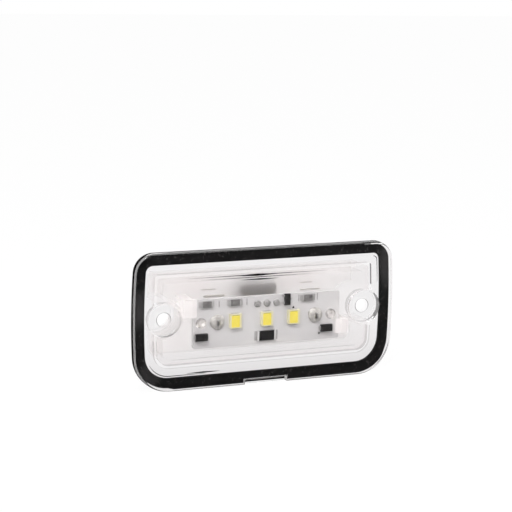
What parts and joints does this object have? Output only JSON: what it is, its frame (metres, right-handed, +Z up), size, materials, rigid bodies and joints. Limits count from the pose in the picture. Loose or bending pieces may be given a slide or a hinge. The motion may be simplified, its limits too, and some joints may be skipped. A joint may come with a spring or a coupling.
{
  "type": "number plate lamp",
  "caption": "Flush LED number plate lamp: clear screw-on lens plate, rubber seal, see-through housing with a small LED board, socket on the back.",
  "frame": {"origin": "midway between the two screw holes, on the plane where the rear faces of the screw bosses meet the panel", "axes": "+X across the lamp to the right as seen from the front, +Y from the front into the panel, +Z up; the front of the lens faces -Y"},
  "size_m": [0.0704, 0.0192, 0.0352],
  "materials": {
    "clear_lens": "clear polished polycarbonate",
    "housing_plastic": "natural see-through plastic, lightly frosted",
    "seal_rubber": "matt black rubber",
    "board_white": "white solder mask",
    "led_white": "white moulded package",
    "phosphor": "yellow phosphor filling",
    "tin": "bright tin plate",
    "solder": "flowed solder",
    "chip_dark": "dark overcoat on ceramic",
    "mould_black": "black moulding compound",
    "terminal_brass": "tinned brass strip",
    "connector_black": "black moulded plastic"
  },
  "bodies": {
    "root": {"lens": "clear_lens", "seal": "seal_rubber", "rear_housing": "housing_plastic", "circuit_board": "board_white", "led_body_left": "led_white", "led_body_centre": "led_white", "led_body_right": "led_white", "led_phosphor_left": "phosphor", "led_phosphor_centre": "phosphor", "led_phosphor_right": "phosphor", "led_tabs": "tin", "chip_resistor_outer": "chip_dark", "chip_resistor_inner": "chip_dark", "chip_resistor_right": "chip_dark", "chip_resistor_caps": "tin", "ballast_resistor": "chip_dark", "ballast_resistor_caps": "tin", "diode_left": "mould_black", "diode_right": "mould_black", "diode_leads": "tin", "transistor": "mould_black", "transistor_leads": "tin", "solder_fillets": "solder", "solder_joint_left": "solder", "solder_joint_right": "solder", "test_pads": "solder", "terminal_left": "terminal_brass", "terminal_right": "terminal_brass", "connector_shell": "connector_black"}
  },
  "joints": []
}
